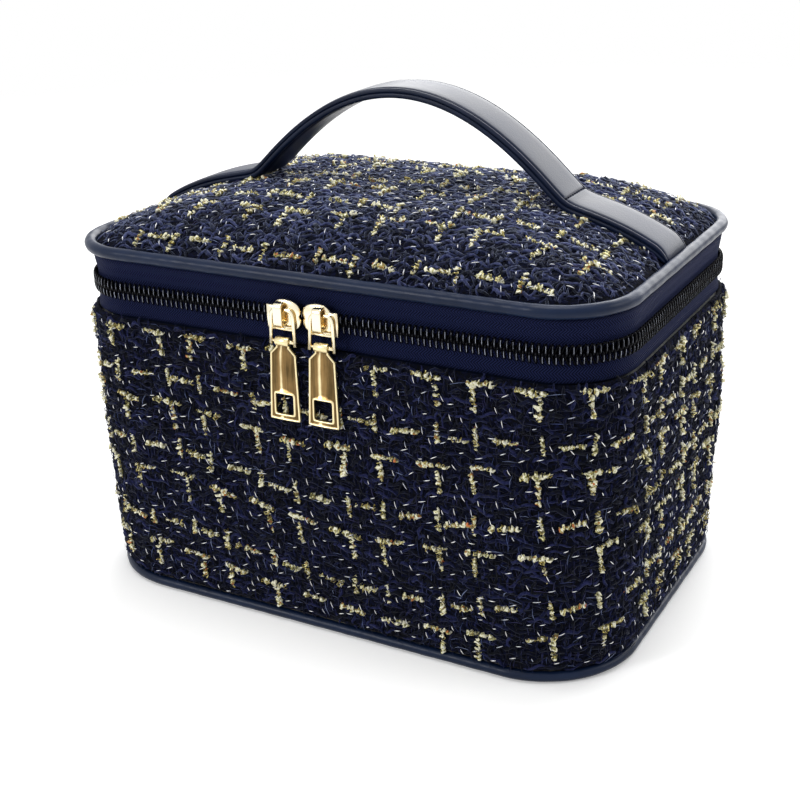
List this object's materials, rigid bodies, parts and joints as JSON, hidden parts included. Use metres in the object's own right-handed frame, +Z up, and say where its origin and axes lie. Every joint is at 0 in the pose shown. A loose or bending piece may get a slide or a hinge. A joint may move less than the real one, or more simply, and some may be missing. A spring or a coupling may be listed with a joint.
{
  "type": "vanity case",
  "caption": "Soft rectangular vanity case with a domed zip-round lid, piped edges, a strap handle and zip sliders with hanging tabs.",
  "frame": {"origin": "middle of the base, on the surface that the case stands on", "axes": "+Z up, +X to the right along the case's width, front with the zip sliders towards -Y"},
  "size_m": [0.2124, 0.1433, 0.1805],
  "materials": {
    "tweed": "boucle tweed with pale gold slubs and silver flecks",
    "leather": "smooth semi-gloss coated leather",
    "foam": "fine open foam",
    "lining": "plain woven lining with a slight sheen",
    "board": "pressed stiffening board",
    "zip_tape": "herringbone zip tape",
    "zip_teeth": "nylon coil",
    "gold_metal": "polished light gold plating"
  },
  "bodies": {
    "case": {"base_cover": "leather", "base_board": "board", "base_lining": "lining", "base_piping": "leather", "body_tweed_wall": "tweed", "body_foam_wall": "foam", "body_lining_wall": "lining", "mouth_binding": "leather", "zip_tape_lower": "zip_tape", "zip_teeth_lower": "zip_teeth", "hinge_panel_lower": "leather"},
    "lid": {"lid_tweed_panel": "tweed", "lid_foam": "foam", "lid_lining": "lining", "lid_piping": "leather", "lid_binding": "leather", "zip_tape_upper": "zip_tape", "zip_teeth_upper": "zip_teeth", "hinge_panel_upper": "leather", "handle_under_leather": "leather", "handle_core": "foam", "handle_top_leather": "leather"},
    "slider_left": {"slider_left_body": "gold_metal"},
    "bail_left": {"slider_left_bail": "gold_metal"},
    "tab_left": {"slider_left_tab": "gold_metal"},
    "slider_right": {"slider_right_body": "gold_metal"},
    "bail_right": {"slider_right_bail": "gold_metal"},
    "tab_right": {"slider_right_tab": "gold_metal"}
  },
  "joints": [
    {"name": "lid_hinge", "type": "hinge", "parent": "case", "child": "lid", "pos_m": [0, 0.0665, 0.1145], "axis": [-1, 0, 0], "range_deg": [0, 110]},
    {"name": "slider_left_slide", "type": "slide", "parent": "case", "child": "slider_left", "axis": [1, 0, 0], "range_m": [-0.06, 0]},
    {"name": "bail_left_swing", "type": "hinge", "parent": "slider_left", "child": "bail_left", "pos_m": [-0.0089, -0.06905, 0.1179], "axis": [-1, 0, 0], "range_deg": [0, 150]},
    {"name": "tab_left_swing", "type": "hinge", "parent": "bail_left", "child": "tab_left", "pos_m": [-0.0089, -0.06953, 0.10691], "axis": [-1, 0, 0], "range_deg": [0, 90]},
    {"name": "slider_right_slide", "type": "slide", "parent": "case", "child": "slider_right", "axis": [1, 0, 0], "range_m": [0, 0.063]},
    {"name": "bail_right_swing", "type": "hinge", "parent": "slider_right", "child": "bail_right", "pos_m": [0.0062, -0.06905, 0.1179], "axis": [-1, 0, 0], "range_deg": [0, 150]},
    {"name": "tab_right_swing", "type": "hinge", "parent": "bail_right", "child": "tab_right", "pos_m": [0.0062, -0.06953, 0.10691], "axis": [-1, 0, 0], "range_deg": [0, 90]}
  ]
}
